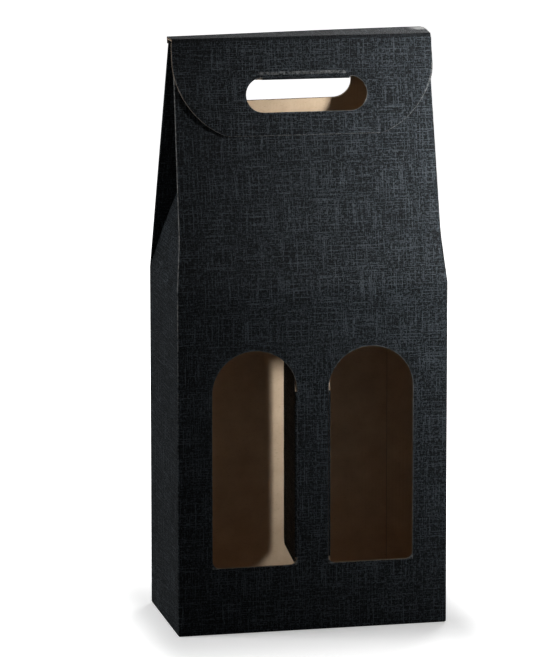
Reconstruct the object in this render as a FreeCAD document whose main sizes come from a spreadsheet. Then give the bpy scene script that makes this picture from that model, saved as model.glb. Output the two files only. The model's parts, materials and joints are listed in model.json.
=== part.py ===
import FreeCAD, Part
import math
import os
import Sketcher

# Carrier carton for two bottles, folded from one sheet of board.
# +Z is up, the windows look along -Y, and the origin is the middle of the base.
# The body is a plain box up to the shoulder. Above it the front and back panels lean together
# to a narrow ridge, and the sides fold inwards between them. The flap hangs from the ridge.

# name, value in millimetres or degrees, what it is
SIZES = (
    ("box_width", 180.0, "outside width of the body"),
    ("box_depth", 92.0, "outside depth of the body"),
    ("box_height", 388.0, "height of the ridge"),
    ("shoulder_height", 229.0, "height at which the panels start to lean"),
    ("board", 1.5, "thickness of the board"),
    ("panel_gap", 18.4, "depth over both leaning panels at the ridge"),
    ("waist_width", 174.0, "width of the leaning panels at the waist"),
    ("waist_rise", 32.0, "height of the waist above the shoulder"),
    ("panel_top_width", 170.0, "width of the leaning panels at the ridge"),
    ("ridge_width", 171.0, "width of the ridge strip"),
    ("clearance", 0.3, "gap between a flap and what it folds against"),
    ("window_width", 56.6, "width of each window"),
    ("window_height", 144.5, "height of each window"),
    ("window_sill", 44.5, "height of the windows' lower edge"),
    ("window_inset", 10.4, "from the middle of the front to each window"),
    ("window_corner", 5.0, "radius of a window's lower corners"),
    ("window_flap_turn", 95.0, "angle that each window flap is folded in"),
    ("flap_gap", 1.0, "gap between the closing flap and the front panel"),
    ("flap_width", 172.6, "width of the closing flap"),
    ("flap_length", 64.0, "length of the closing flap down the slope"),
    ("flap_straight", 15.0, "straight length of the closing flap's sides"),
    ("flap_round", 52.0, "radius of the closing flap's lower corners"),
    ("slot_length", 80.0, "length of the hand slot"),
    ("slot_width", 23.2, "width of the hand slot"),
    ("slot_drop", 24.8, "from the ridge down the slope to the hand slot"),
    ("slot_margin", 1.0, "how much larger the slots behind the flap are"),
    ("slot_corner", 5.0, "corner radius of the front panel's slot"),
    ("tab_turn", 100.0, "angle that the hand slot's tab is folded in"),
    ("seam_width", 18.0, "width of the glued side seam"),
    ("seam_inset", 5.0, "from the seam's ends to the base and the shoulder"),
    ("base_lap", 9.0, "how far the base flaps hook past the middle"),
    ("base_hook", 14.0, "half width of the slanted hook in the base"),
    ("base_groove", 0.8, "width of the joint between the base flaps"),
    ("base_groove_depth", 1.0, "depth of the joint between the base flaps"),
    ("base_side_flap", 58.0, "length of the side flaps that lie inside the base"),
)
PAST = 5.0  # how far a cutting solid runs past the board

doc = FreeCAD.newDocument("bottle_carton")


class Size:
    # a value together with the sheet formula that gives it
    def __init__(self, number, text):
        self.number = number
        self.text = text

    def __add__(self, other):
        other = asSize(other)
        return Size(self.number + other.number, f"({self.text} + {other.text})")

    def __sub__(self, other):
        other = asSize(other)
        return Size(self.number - other.number, f"({self.text} - {other.text})")

    def __mul__(self, other):
        other = asSize(other)
        return Size(self.number * other.number, f"({self.text} * {other.text})")

    def __truediv__(self, other):
        other = asSize(other)
        return Size(self.number / other.number, f"({self.text} / {other.text})")

    def __neg__(self):
        return Size(-self.number, f"(-1 * {self.text})")


def asSize(value):
    return value if isinstance(value, Size) else Size(value, repr(value))


def asAngle(size):
    # a plain number of degrees as an angle, which can be added to other angles
    return Size(size.number, f"({size.text} * 1 deg)")


def tangent(angle):
    return Size(math.tan(math.radians(angle.number)), f"tan({angle.text})")


def cosine(angle):
    return Size(math.cos(math.radians(angle.number)), f"cos({angle.text})")


def sine(angle):
    return Size(math.sin(math.radians(angle.number)), f"sin({angle.text})")


def arctangent(ratio):
    return Size(math.degrees(math.atan(ratio.number)), f"atan({ratio.text})")


def root(square):
    return Size(math.sqrt(square.number), f"sqrt({square.text})")


def makeSheet():
    # the driving sizes, each in a cell with its own alias
    sheet = doc.addObject("Spreadsheet::Sheet", "sizes")
    for row, (name, value, note) in enumerate(SIZES, start=1):
        sheet.set(f"A{row}", name)
        sheet.set(f"B{row}", str(value))
        sheet.set(f"C{row}", note)
        sheet.setAlias(f"B{row}", name)
    doc.recompute()
    return sheet


sheet = makeSheet()


def read(name):
    return Size(float(sheet.get(name)), f"sizes.{name}")


ZERO = Size(0.0, "0")
SQUARE = Size(90.0, "90 deg")

width = read("box_width")
depth = read("box_depth")
height = read("box_height")
shoulder = read("shoulder_height")
board = read("board")
panelGap = read("panel_gap")
clearance = read("clearance")
halfWidth = width / 2
halfDepth = depth / 2

# The leaning panels: their angle, and the depth of one board measured level through them.
lean = arctangent((depth - panelGap) / 2 / (height - shoulder))
levelBoard = board / cosine(lean)
panelTop = height - board - clearance
baseThickness = board * 2

# The closing flap hangs from this line, in front of the ridge.
foldY = -(panelGap / 2 + (board + read("flap_gap")) / cosine(lean))


def bind(thing, **sizes):
    for name, size in sizes.items():
        thing.setExpression(name, size.text)


def place(thing, x=ZERO, y=ZERO, z=ZERO, axis=None, angle=None):
    # puts a thing at x, y, z, turned about an axis
    turn = FreeCAD.Rotation()
    if axis is not None:
        turn = FreeCAD.Rotation(FreeCAD.Vector(*axis), asSize(angle).number)
    thing.Placement = FreeCAD.Placement(FreeCAD.Vector(x.number, y.number, z.number), turn)
    bind(thing, **{"Placement.Base.x": x, "Placement.Base.y": y, "Placement.Base.z": z})
    if isinstance(angle, Size):
        bind(thing, **{"Placement.Rotation.Angle": angle})


def block(name, x, y, z, length, across, tall):
    # a box from its lowest corner
    solid = doc.addObject("Part::Box", name)
    bind(solid, Length=length, Width=across, Height=tall)
    place(solid, x, y, z)
    return solid


def taper(name, z, tall, halfX, halfLow, halfHigh):
    # a block of constant width whose depth narrows from halfLow to halfHigh on the way up
    solid = doc.addObject("Part::Wedge", name)
    bind(solid, Xmin=-halfX, Xmax=halfX, X2min=-halfX, X2max=halfX, Ymin=ZERO, Ymax=tall)
    bind(solid, Zmin=-halfLow, Zmax=halfLow, Z2min=-halfHigh, Z2max=halfHigh)
    place(solid, z=z, axis=(1, 0, 0), angle=90)
    return solid


def fuse(name, *solids):
    joined = doc.addObject("Part::MultiFuse", name)
    joined.Shapes = list(solids)
    return joined


def cut(name, base, tool):
    rest = doc.addObject("Part::Cut", name)
    rest.Base = base
    rest.Tool = tool
    return rest


def common(name, first, second):
    shared = doc.addObject("Part::MultiCommon", name)
    shared.Shapes = [first, second]
    return shared


def pin(sketch, geometry, point, x=None, y=None):
    # holds a point of a sketch at x and y from its origin
    for kind, axis, size in (("DistanceX", -2, x), ("DistanceY", -1, y)):
        if size is None:
            continue
        if size is ZERO:
            sketch.addConstraint(Sketcher.Constraint("PointOnObject", geometry, point, axis))
            continue
        ends = (-1, 1, geometry, point) if size.number > 0 else (geometry, point, -1, 1)
        index = sketch.addConstraint(Sketcher.Constraint(kind, *ends, abs(size.number)))
        sketch.setExpression(f"Constraints[{index}]", f"abs({size.text})")


def outline(sketch, start, steps):
    # Draws a closed outline. Each step is its end point, and the centre if it is an arc.
    # Arcs run anticlockwise, and each is held by its centre and one coordinate of its end.
    corner = start
    for end, centre in steps:
        first = FreeCAD.Vector(corner[0].number, corner[1].number, 0)
        last = FreeCAD.Vector(end[0].number, end[1].number, 0)
        if centre is None:
            sketch.addGeometry(Part.LineSegment(first, last))
        else:
            middle = FreeCAD.Vector(centre[0].number, centre[1].number, 0)
            angles = [math.atan2(p.y - middle.y, p.x - middle.x) for p in (first, last)]
            if angles[1] <= angles[0]:
                angles[1] += 2 * math.pi
            circle = Part.Circle(middle, FreeCAD.Vector(0, 0, 1), (first - middle).Length)
            sketch.addGeometry(Part.ArcOfCircle(circle, *angles))
        corner = end
    for index, (end, centre) in enumerate(steps):
        following = (index + 1) % len(steps)
        sketch.addConstraint(Sketcher.Constraint("Coincident", index, 2, following, 1))
        if centre is None:
            pin(sketch, index, 2, *end)
            continue
        pin(sketch, index, 3, *centre)
        reach = (end[0].number - centre[0].number, end[1].number - centre[1].number)
        if abs(reach[0]) >= abs(reach[1]):
            pin(sketch, index, 2, y=end[1])
        else:
            pin(sketch, index, 2, x=end[0])


def polygon(sketch, corners):
    outline(sketch, corners[0], [(corner, None) for corner in corners[1:] + corners[:1]])


def slotOutline(sketch, low, length, across):
    # a slot with round ends, centred on x and starting at y = low
    radius = across / 2
    run = length / 2 - radius
    middle = low + radius
    steps = [
        ((run, low), None),
        ((run, low + across), (run, middle)),
        ((-run, low + across), None),
        ((-run, low), (-run, middle)),
    ]
    outline(sketch, (-run, low), steps)


def cornerOutline(sketch, low, length, across, radius):
    # a rectangle with rounded corners, centred on x and starting at y = low
    half = length / 2
    run = half - radius
    near = low + radius
    far = low + across - radius
    steps = [
        ((run, low), None),
        ((half, near), (run, near)),
        ((half, far), None),
        ((run, low + across), (run, far)),
        ((-run, low + across), None),
        ((-half, far), (-run, far)),
        ((-half, near), None),
        ((-run, low), (-run, near)),
    ]
    outline(sketch, (-run, low), steps)


def windowOutline(sketch, side, start, margin):
    # an arched window that starts at x = start towards one side, less a margin all round
    across = read("window_width")
    near = start + margin * side
    far = start + (across - margin) * side
    left, right = (near, far) if side > 0 else (far, near)
    middle = start + across / 2 * side
    low = margin
    spring = read("window_height") - across / 2
    corner = read("window_corner") - margin
    steps = [
        ((right - corner, low), None),
        ((right, low + corner), (right - corner, low + corner)),
        ((right, spring), None),
        ((left, spring), (middle, spring)),
        ((left, low + corner), None),
        ((left + corner, low), (left + corner, low + corner)),
    ]
    outline(sketch, (left + corner, low), steps)


def prism(name, sketch, forward, backward=ZERO):
    # a sketch drawn out along its own normal, both ways
    solid = doc.addObject("Part::Extrusion", name)
    solid.Base = sketch
    solid.DirMode = "Normal"
    solid.Solid = True
    bind(solid, LengthFwd=forward, LengthRev=backward)
    return solid


def looseSketch(name):
    return doc.addObject("Sketcher::SketchObject", name)


def bodySketch(body, name, plane):
    # a sketch of a body, on one of the body's own origin planes
    sketch = body.newObject("Sketcher::SketchObject", name)
    for feature in body.Origin.OriginFeatures:
        if feature.Role == plane:
            sketch.AttachmentSupport = (feature, "")
    sketch.MapMode = "FlatFace"
    return sketch


def convexSolid(planes):
    # the solid inside planes, each given by a point on it and its outward normal
    tolerance = 1e-6
    faces = [[] for _ in planes]
    count = len(planes)
    triples = [(i, j, k) for i in range(count) for j in range(i) for k in range(j)]
    for triple in triples:
        (p1, n1), (p2, n2), (p3, n3) = (planes[i] for i in triple)
        volume = n1.dot(n2.cross(n3))
        if abs(volume) < tolerance:
            continue
        corner = n2.cross(n3) * p1.dot(n1) + n3.cross(n1) * p2.dot(n2) + n1.cross(n2) * p3.dot(n3)
        corner = corner / volume
        if all((corner - p).dot(n) < tolerance for p, n in planes):
            for i in triple:
                if all((corner - known).Length > tolerance for known in faces[i]):
                    faces[i].append(corner)
    made = []
    for (point, normal), corners in zip(planes, faces):
        centre = sum(corners, FreeCAD.Vector()) / len(corners)
        along = (corners[0] - centre).normalize()
        across = normal.cross(along)
        corners.sort(key=lambda c: math.atan2((c - centre).dot(across), (c - centre).dot(along)))
        made.append(Part.Face(Part.makePolygon(corners + corners[:1])))
    return Part.makeSolid(Part.makeShell(made))


def gussetPlanes():
    # Three planes of the left side's fold: the triangle above the shoulder and its two halves.
    # The board keeps its length, so the fold's inner end lies where two circles cross.
    base = FreeCAD.Vector(-halfWidth.number, halfDepth.number - board.number, shoulder.number)
    top = FreeCAD.Vector(
        -read("panel_top_width").number / 2,
        panelGap.number / 2 - 2 * levelBoard.number,
        height.number,
    )
    slope = (top - base).Length
    reach = math.sqrt(base.y**2 - top.y**2)
    inwards = top.x - base.x
    rise = top.z - base.z
    span = math.hypot(inwards, rise)
    along = (slope**2 - reach**2 + span**2) / (2 * span)
    aside = math.sqrt(slope**2 - along**2)
    inner = FreeCAD.Vector(
        base.x + (along * inwards + aside * rise) / span,
        0,
        base.z + (along * rise - aside * inwards) / span,
    )
    mirrored = FreeCAD.Vector(base.x, -base.y, base.z)
    triangle = (inner - mirrored).cross(base - mirrored).normalize()
    if triangle.x < 0:
        triangle = -triangle
    half = (top - base).cross(inner - base).normalize()
    if half.y < 0:
        half = -half
    opposite = FreeCAD.Vector(half.x, -half.y, half.z)
    return [(base, triangle), (base, half), (mirrored, opposite)]


def gussetSolid(name, side, thickness):
    # the space outside one side's fold, grown inwards by a thickness of board
    planes = [(point + normal * thickness, normal) for point, normal in gussetPlanes()]
    planes.append((FreeCAD.Vector(-halfWidth.number - PAST, 0, 0), FreeCAD.Vector(-1, 0, 0)))
    planes.append((FreeCAD.Vector(0, 0, height.number + PAST), FreeCAD.Vector(0, 0, 1)))
    if side > 0:
        planes = [(FreeCAD.Vector(-p.x, p.y, p.z), FreeCAD.Vector(-n.x, n.y, n.z)) for p, n in planes]
    solid = doc.addObject("Part::Feature", name)
    solid.Shape = convexSolid(planes)
    return solid


def frontOutline():
    # the front view: square up to the shoulder, then narrowing to the ridge
    sketch = looseSketch("front_outline")
    waist = read("waist_width") / 2
    top = read("panel_top_width") / 2
    waistHeight = shoulder + read("waist_rise")
    rightSide = [(halfWidth, ZERO), (halfWidth, shoulder), (waist, waistHeight), (top, height)]
    leftSide = [(-x, z) for x, z in reversed(rightSide)]
    polygon(sketch, rightSide + leftSide)
    place(sketch, axis=(1, 0, 0), angle=90)
    return prism("front_prism", sketch, halfDepth + PAST, halfDepth + PAST)


def outsideBlock():
    body = block("body_block", -halfWidth, -halfDepth, ZERO, width, depth, shoulder)
    roof = taper("roof_block", shoulder, height - shoulder, halfWidth, halfDepth, panelGap / 2)
    return common("outside", fuse("blocks", body, roof), frontOutline())


def insideBlock():
    # the hollow, one board in from the outside and two boards up from the base
    mitre = shoulder - board * tangent(lean / 2)
    innerWidth = halfWidth - board
    innerDepth = halfDepth - board
    room = block(
        "lower_room", -innerWidth, -innerDepth, baseThickness,
        innerWidth * 2, innerDepth * 2, shoulder - baseThickness,
    )
    roof = taper(
        "upper_room", mitre, height - mitre, innerWidth, innerDepth, panelGap / 2 - levelBoard
    )
    return fuse("inside", room, roof)


def glueSeam():
    # the flap that joins the two ends of the sheet, glued inside the back wall
    inset = read("seam_inset")
    low = baseThickness + inset
    return block(
        "glue_seam", halfWidth - board - read("seam_width"), halfDepth - board * 2, low,
        read("seam_width") + board / 2, board * 1.5, shoulder - inset - low,
    )


def windowCut(name, side):
    sketch = looseSketch(f"{name}_sketch")
    windowOutline(sketch, side, read("window_inset") * side, ZERO)
    place(sketch, y=-halfDepth, z=read("window_sill"), axis=(1, 0, 0), angle=90)
    return prism(name, sketch, asSize(PAST), board + PAST)


def slotCuts():
    # The hand slots through the two leaning panels, in line with the closing flap's slot.
    # The front one has squarer corners, because the tab swings through it.
    margin = read("slot_margin")
    low = read("slot_drop") - margin
    length = read("slot_length") + margin * 2
    across = read("slot_width") + margin * 2
    through = board + read("flap_gap") + board + PAST
    front = looseSketch("slot_front_sketch")
    cornerOutline(front, low, length, across, read("slot_corner"))
    place(front, y=foldY, z=height, axis=(-1, 0, 0), angle=lean + SQUARE)
    back = looseSketch("slot_back_sketch")
    slotOutline(back, low, length, across)
    place(back, y=-foldY, z=height, axis=(-1, 0, 0), angle=SQUARE - lean)
    return [
        prism("slot_front", front, through),
        prism("slot_back", back, asSize(PAST), through),
    ]


def baseJoint():
    # the joint between the two hooked base flaps, seen as a groove under the base
    lap = read("base_lap")
    hook = read("base_hook")
    groove = read("base_groove")
    deep = read("base_groove_depth")
    run = halfWidth - board - hook
    left = block("joint_left", -(hook + run), -lap - groove / 2, ZERO, run, groove, deep)
    right = block("joint_right", hook, lap - groove / 2, ZERO, run, groove, deep)
    slant = arctangent(lap / hook)
    reach = hook / cosine(slant)
    middle = block("joint_middle", ZERO, ZERO, ZERO, reach * 2, groove, deep)
    startX = -hook + groove / 2 * sine(slant)
    startY = -lap - groove / 2 * cosine(slant)
    place(middle, startX, startY, ZERO, axis=(0, 0, 1), angle=slant)
    return fuse("base_joint", left, middle, right)


def baseRecess():
    # between the ends of the side flaps the floor is one board lower
    half = halfWidth - board - read("base_side_flap")
    innerDepth = halfDepth - board
    return block("base_recess", -half, -innerDepth, board, half * 2, innerDepth * 2, board * 2)


def ridgeStrip():
    # the strip that runs on from the back panel over the ridge to the closing flap's fold
    backTop = panelGap / 2
    step = tangent(lean)
    outerAt = backTop + step * (height - panelTop)
    innerAt = outerAt - levelBoard
    innerUnder = backTop + step * board - levelBoard
    sketch = looseSketch("ridge_sketch")
    corners = [
        (outerAt, panelTop),
        (backTop, height),
        (foldY, height),
        (foldY, height - board),
        (innerUnder, height - board),
        (innerAt, panelTop),
    ]
    polygon(sketch, corners)
    place(sketch, axis=(1, 1, 1), angle=120)
    half = read("ridge_width") / 2
    return prism("ridge_strip", sketch, half, half)


def makeCarton():
    outside = outsideBlock()
    walls = cut("walls", outside, insideBlock())
    grown = fuse(
        "gusset_blocks",
        gussetSolid("gusset_block_left", -1, board.number),
        gussetSolid("gusset_block_right", 1, board.number),
    )
    folded = fuse("folded", walls, common("gussets", outside, grown), glueSeam())
    openings = fuse(
        "openings",
        gussetSolid("pocket_left", -1, 0),
        gussetSolid("pocket_right", 1, 0),
        windowCut("window_left", -1),
        windowCut("window_right", 1),
        *slotCuts(),
        baseJoint(),
        baseRecess(),
        block("above_panels", -width, -depth, panelTop, width * 2, depth * 2, board * 2),
    )
    carton = fuse("carton", cut("opened", folded, openings), ridgeStrip())
    carton.Label = "carton"
    return carton


def makeBody(label, plane, draw, outwards):
    # a flap of board: one outline, padded by the board's thickness
    body = doc.addObject("PartDesign::Body", label)
    sketch = bodySketch(body, f"{label}_outline", plane)
    draw(sketch)
    pad = body.newObject("PartDesign::Pad", f"{label}_pad")
    pad.Profile = sketch
    pad.Reversed = outwards
    bind(pad, Length=board)
    body.Tip = pad
    body.Label = label
    return body


def closingOutline(sketch):
    half = read("flap_width") / 2
    radius = read("flap_round")
    straight = read("flap_straight")
    length = read("flap_length")
    top = (board + clearance) / cosine(lean)
    centre = half - radius
    drop = length - straight
    foot = centre + root(radius * radius - drop * drop)
    steps = [
        ((half, top), None),
        ((half, straight), None),
        ((foot, length), (centre, straight)),
        ((-foot, length), None),
        ((-half, straight), (-centre, straight)),
        ((-half, top), None),
    ]
    outline(sketch, (-half, top), steps)


def makeClosingFlap():
    # lies on the front panel: local y runs down the slope and local z inwards
    flap = makeBody("closing_flap", "XY_Plane", closingOutline, False)
    sketch = bodySketch(flap, "hand_slot", "XY_Plane")
    slotOutline(sketch, read("slot_drop"), read("slot_length"), read("slot_width"))
    pocket = flap.newObject("PartDesign::Pocket", "hand_slot_cut")
    pocket.Profile = sketch
    pocket.Type = "ThroughAll"
    pocket.Midplane = True
    flap.Tip = pocket
    place(flap, y=foldY, z=height, axis=(-1, 0, 0), angle=lean + SQUARE)
    return flap


def tabOutline(sketch):
    gap = clearance * 2
    slotOutline(sketch, clearance, read("slot_length") - gap, read("slot_width") - gap)


def makeTab():
    # the piece cut from the hand slot, folded in along the slot's upper edge
    tab = makeBody("hand_tab", "XY_Plane", tabOutline, True)
    drop = read("slot_drop")
    y = foldY - sine(lean) * drop + cosine(lean) * board
    z = height - cosine(lean) * drop - sine(lean) * board
    turn = asAngle(read("tab_turn"))
    place(tab, y=y, z=z, axis=(-1, 0, 0), angle=lean + SQUARE - turn)
    return tab


def makeWindowFlap(label, side):
    # the piece cut from a window, folded in along the window's edge nearest the middle
    def draw(sketch):
        windowOutline(sketch, side, ZERO, clearance)

    flap = makeBody(label, "XZ_Plane", draw, False)
    x = read("window_inset") * side
    turn = asAngle(read("window_flap_turn"))
    place(flap, x, board - halfDepth, read("window_sill"), axis=(0, 0, side), angle=turn)
    return flap


PIECES = [
    makeCarton(),
    makeClosingFlap(),
    makeTab(),
    makeWindowFlap("window_flap_left", -1),
    makeWindowFlap("window_flap_right", 1),
]
doc.recompute()

for thing in doc.Objects:
    if "Invalid" in thing.State or "Error" in thing.State:
        raise RuntimeError(f"{thing.Label} did not build: {thing.State}")
for piece in PIECES:
    if piece.Shape.isNull() or not piece.Shape.isValid() or len(piece.Shape.Solids) != 1:
        raise RuntimeError(f"{piece.Label} is not one valid solid")

os.makedirs("parts", exist_ok=True)
for piece in PIECES:
    piece.Shape.exportStep(f"parts/{piece.Label}.step")
    box = piece.Shape.BoundBox
    print(f"{piece.Label}: {box.XLength:.1f} x {box.YLength:.1f} x {box.ZLength:.1f} mm")
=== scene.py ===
import json
import math
import bmesh
import bpy
import numpy as np
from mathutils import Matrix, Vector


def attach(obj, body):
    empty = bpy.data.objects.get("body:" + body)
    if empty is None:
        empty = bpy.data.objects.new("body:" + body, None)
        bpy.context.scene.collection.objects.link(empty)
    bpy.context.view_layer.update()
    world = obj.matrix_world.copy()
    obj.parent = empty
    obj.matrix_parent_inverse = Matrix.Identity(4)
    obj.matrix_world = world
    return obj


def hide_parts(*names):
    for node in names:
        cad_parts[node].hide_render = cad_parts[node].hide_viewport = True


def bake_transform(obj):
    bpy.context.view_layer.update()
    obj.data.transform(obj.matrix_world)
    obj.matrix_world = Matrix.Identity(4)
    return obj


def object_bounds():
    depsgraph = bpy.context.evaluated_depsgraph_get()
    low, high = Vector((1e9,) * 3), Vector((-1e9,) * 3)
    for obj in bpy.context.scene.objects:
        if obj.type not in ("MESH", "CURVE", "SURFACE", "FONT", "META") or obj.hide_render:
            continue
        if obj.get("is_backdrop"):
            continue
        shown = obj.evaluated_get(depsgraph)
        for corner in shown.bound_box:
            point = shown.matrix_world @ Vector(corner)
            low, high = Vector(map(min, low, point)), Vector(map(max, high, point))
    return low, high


# Carrier carton folded from one sheet of board, with a hand slot and two windows.
# Metres throughout: +Z is up, the windows look along -Y, the origin is the middle of the base.
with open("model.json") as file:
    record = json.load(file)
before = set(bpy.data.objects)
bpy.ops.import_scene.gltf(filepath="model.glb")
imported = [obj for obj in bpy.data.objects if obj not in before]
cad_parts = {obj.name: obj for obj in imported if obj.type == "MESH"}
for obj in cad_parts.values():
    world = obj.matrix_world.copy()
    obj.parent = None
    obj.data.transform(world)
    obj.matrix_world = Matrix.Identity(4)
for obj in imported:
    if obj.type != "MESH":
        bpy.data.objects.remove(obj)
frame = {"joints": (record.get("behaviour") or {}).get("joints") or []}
cadLow, cadHigh = (list(corner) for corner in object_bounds())
joints = {joint["name"]: joint for joint in frame["joints"]}


def hinge(name):
    # the point that a joint turns about
    return np.array(joints[name]["pos_m"], float)


paper = {
    "board": 0.0015,  # thickness of the board
    "liner": 0.0004,  # thickness of the outer paper where it bends over a fold
    "clear": 0.0003,  # the gap round a piece that folds back into its opening
    "glueGap": 0.0001,  # between boards that lie on each other
    "sharpAngle": math.radians(34),
    "weld": 2e-6,
}

board = paper["board"]
linen, kraft, cutEdge = 0, 1, 2  # material slots that every piece has


def smoothStep(t):
    # 3t^2 - 2t^3, held at 0 and 1 outside
    t = np.clip(t, 0, 1)
    return t * t * (3 - 2 * t)


def smoothFrom(value, start, reach):
    # 0 up to the start, 1 from one reach further on, and a smooth step between them
    return smoothStep((value - start) / reach)


def gridFaces(points, uv, material):
    # quads between neighbouring rows and columns, each corner with its own uv
    rows, columns = points.shape[:2]
    index = np.arange(rows * columns).reshape(rows, columns)
    corners = [index[:-1, :-1], index[:-1, 1:], index[1:, 1:], index[1:, :-1]]
    quads = np.stack(corners, -1).reshape(-1, 4)
    return points.reshape(-1, 3), quads, uv.reshape(-1, 2)[quads], np.full(len(quads), material)


def placed(name, data):
    # a new object in the scene
    thing = bpy.data.objects.new(name, data)
    bpy.context.scene.collection.objects.link(thing)
    return thing


def sceneObject(name, mesh):
    # welds equal points, turns all faces outwards and puts the mesh in the scene
    work = bmesh.new()
    work.from_mesh(mesh)
    bmesh.ops.remove_doubles(work, verts=work.verts, dist=paper["weld"])
    bmesh.ops.dissolve_degenerate(work, edges=work.edges, dist=paper["weld"])
    bmesh.ops.recalc_face_normals(work, faces=work.faces)
    work.to_mesh(mesh)
    work.free()
    return placed(name, mesh)


def edgeStrip(outerLine, innerLine, flute):
    # the cut edge between two lines; its uv is the place along the flutes and the depth
    points = np.stack([outerLine, innerLine])
    uv = np.zeros(points.shape[:2] + (2,))
    uv[..., 0] = flute
    uv[1, :, 1] = board
    return gridFaces(points, uv, cutEdge)


def boardSheet(outer, inner, uv, edgeRows=(0, -1), edgeColumns=(0, -1)):
    # a board from its outer and inner surface, closed by strips along the borders
    parts = [gridFaces(outer, uv, linen), gridFaces(inner, uv, kraft)]
    parts += [edgeStrip(outer[row], inner[row], uv[row, :, 0]) for row in edgeRows]
    parts += [edgeStrip(outer[:, col], inner[:, col], uv[:, col, 0]) for col in edgeColumns]
    return parts


def meshObject(name, parts):
    # one mesh from the parts, with each part's points counted on from the one before
    starts = np.cumsum([0] + [len(part[0]) for part in parts])
    points = np.concatenate([part[0] for part in parts])
    quads = np.concatenate([part[1] + start for part, start in zip(parts, starts)])
    uv = np.concatenate([part[2] for part in parts])
    material = np.concatenate([part[3] for part in parts])
    mesh = bpy.data.meshes.new(name)
    mesh.from_pydata(points.tolist(), [], quads.tolist())
    layer = mesh.uv_layers.new(name="sheet")
    layer.data.foreach_set("uv", uv.reshape(-1).astype(np.float32))
    mesh.polygons.foreach_set("material_index", material.astype(np.int32))
    return sceneObject(name, mesh)


def dress(thing, outside):
    # its outer paper, the kraft inside and the cut edge, in the order of the slots
    for material in (outside, kraftInside, fluteEdge):
        thing.data.materials.append(material)


def finishMesh(thing, body, outside):
    # smooth shading between sharp folds, its materials, and the body it moves with
    mesh = thing.data
    if not mesh.materials:
        dress(thing, outside)
    mesh.polygons.foreach_set("use_smooth", np.ones(len(mesh.polygons), bool))
    mesh.set_sharp_from_angle(angle=paper["sharpAngle"])
    mesh.update()
    if body:
        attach(thing, body)


def pointsOf(mesh):
    # the mesh's points, one in each row
    spots = np.zeros(len(mesh.vertices) * 3, np.float32)
    mesh.vertices.foreach_get("co", spots)
    return spots.reshape(-1, 3).astype(float)


# the folded walls

walls = {
    "halfWidth": cadHigh[0],
    "halfDepth": cadHigh[1],
    "shoulder": 0.229,
    "top": 0.3862,
    "topHalfDepth": 0.0092,
    "waistHalfWidth": 0.0870,
    "waistRise": 0.032,
    "topHalfWidth": 0.0850,
    "backTopHalfWidth": 0.0841,
    "backBlend": 0.004,  # this far behind the middle the back's own width has taken over
    "foldRadius": 0.0010,
    "footRadius": 0.0011,
    "shoulderSoftness": 0.0016,
    "softnessExcess": 0.65,  # the softness squared over this is taken off the rise again
    "sideInner": (0.0409, 0.156),  # inner end of the side fold: x, and height above the shoulder
    "foldBlend": 0.016,
    "insideBlend": 0.004,  # height over which the inside takes up the lean
    "insideStart": 0.0005,  # height above the shoulder where the inner corners begin to part
    "insideStep": 1.03,  # the folded-in half's thickness across, in boards
    "insideSlope": 0.9,
    "bow": 0.0007,
    "upperBow": 0.8,  # the leaning panels' share of the bow
    "bowFade": (0.8, 0.15),  # share of the depth where the bow begins, and the way to its full size
    "sideBowFade": (0.9, 0.07),
    # how strongly the painted highlight, with some rubbing, lightens the folds
    "foldHighlightAndWear": 0.55,
    "columns": {"front": 18, "arc": 8, "half": 8, "side": 14},
    "lowRows": 30,
    "highRows": 22,
    "shoulderRows": (  # heights from the shoulder
        -0.004, -0.0025, -0.0012, -0.0005, 0, 0.0006, 0.0014,
        0.0026, 0.004, 0.006, 0.0085, 0.0115, 0.015,
    ),
    "footRows": 5,
}

lean = math.atan((walls["halfDepth"] - walls["topHalfDepth"]) / (cadHigh[2] - walls["shoulder"]))
foldLine = hinge("closing_flap_fold")
downSlope = np.array([0.0, -math.sin(lean), -math.cos(lean)])
intoFlap = np.array([0.0, math.cos(lean), -math.sin(lean)])


def wallShape(z):
    # half depth, half width, and the side fold's corner, for each height
    above = z - walls["shoulder"]
    soft = walls["shoulderSoftness"]
    rise = (above + np.sqrt(above**2 + soft**2)) / 2  # a hinge rounded by the softness
    depth = walls["halfDepth"] - math.tan(lean) * (rise - soft**2 / walls["softnessExcess"])
    depth = np.minimum(depth, walls["halfDepth"])
    heights = [0, walls["shoulder"], walls["shoulder"] + walls["waistRise"], cadHigh[2]]
    widths = [walls["halfWidth"], walls["halfWidth"], walls["waistHalfWidth"], walls["topHalfWidth"]]
    across = np.interp(z, heights, widths)
    innerX, innerRise = walls["sideInner"]
    share = np.clip(rise / innerRise, 0, 1)
    share = np.where(above < -soft * 3, 0, share)
    corner = walls["halfWidth"] + (innerX - walls["halfWidth"]) * share
    reach = (walls["halfDepth"] - walls["foldRadius"]) * (1 - share)
    return above, depth, across, corner, reach


def between(start, end, count):
    # count + 1 even points in a straight line for each row
    share = np.linspace(0, 1, count + 1)
    return start[:, None, :] * (1 - share[None, :, None]) + end[:, None, :] * share[None, :, None]


def flat(x, y):
    # pairs of x and y, stretched to the same size
    return np.stack(np.broadcast_arrays(x, y), -1)


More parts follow.
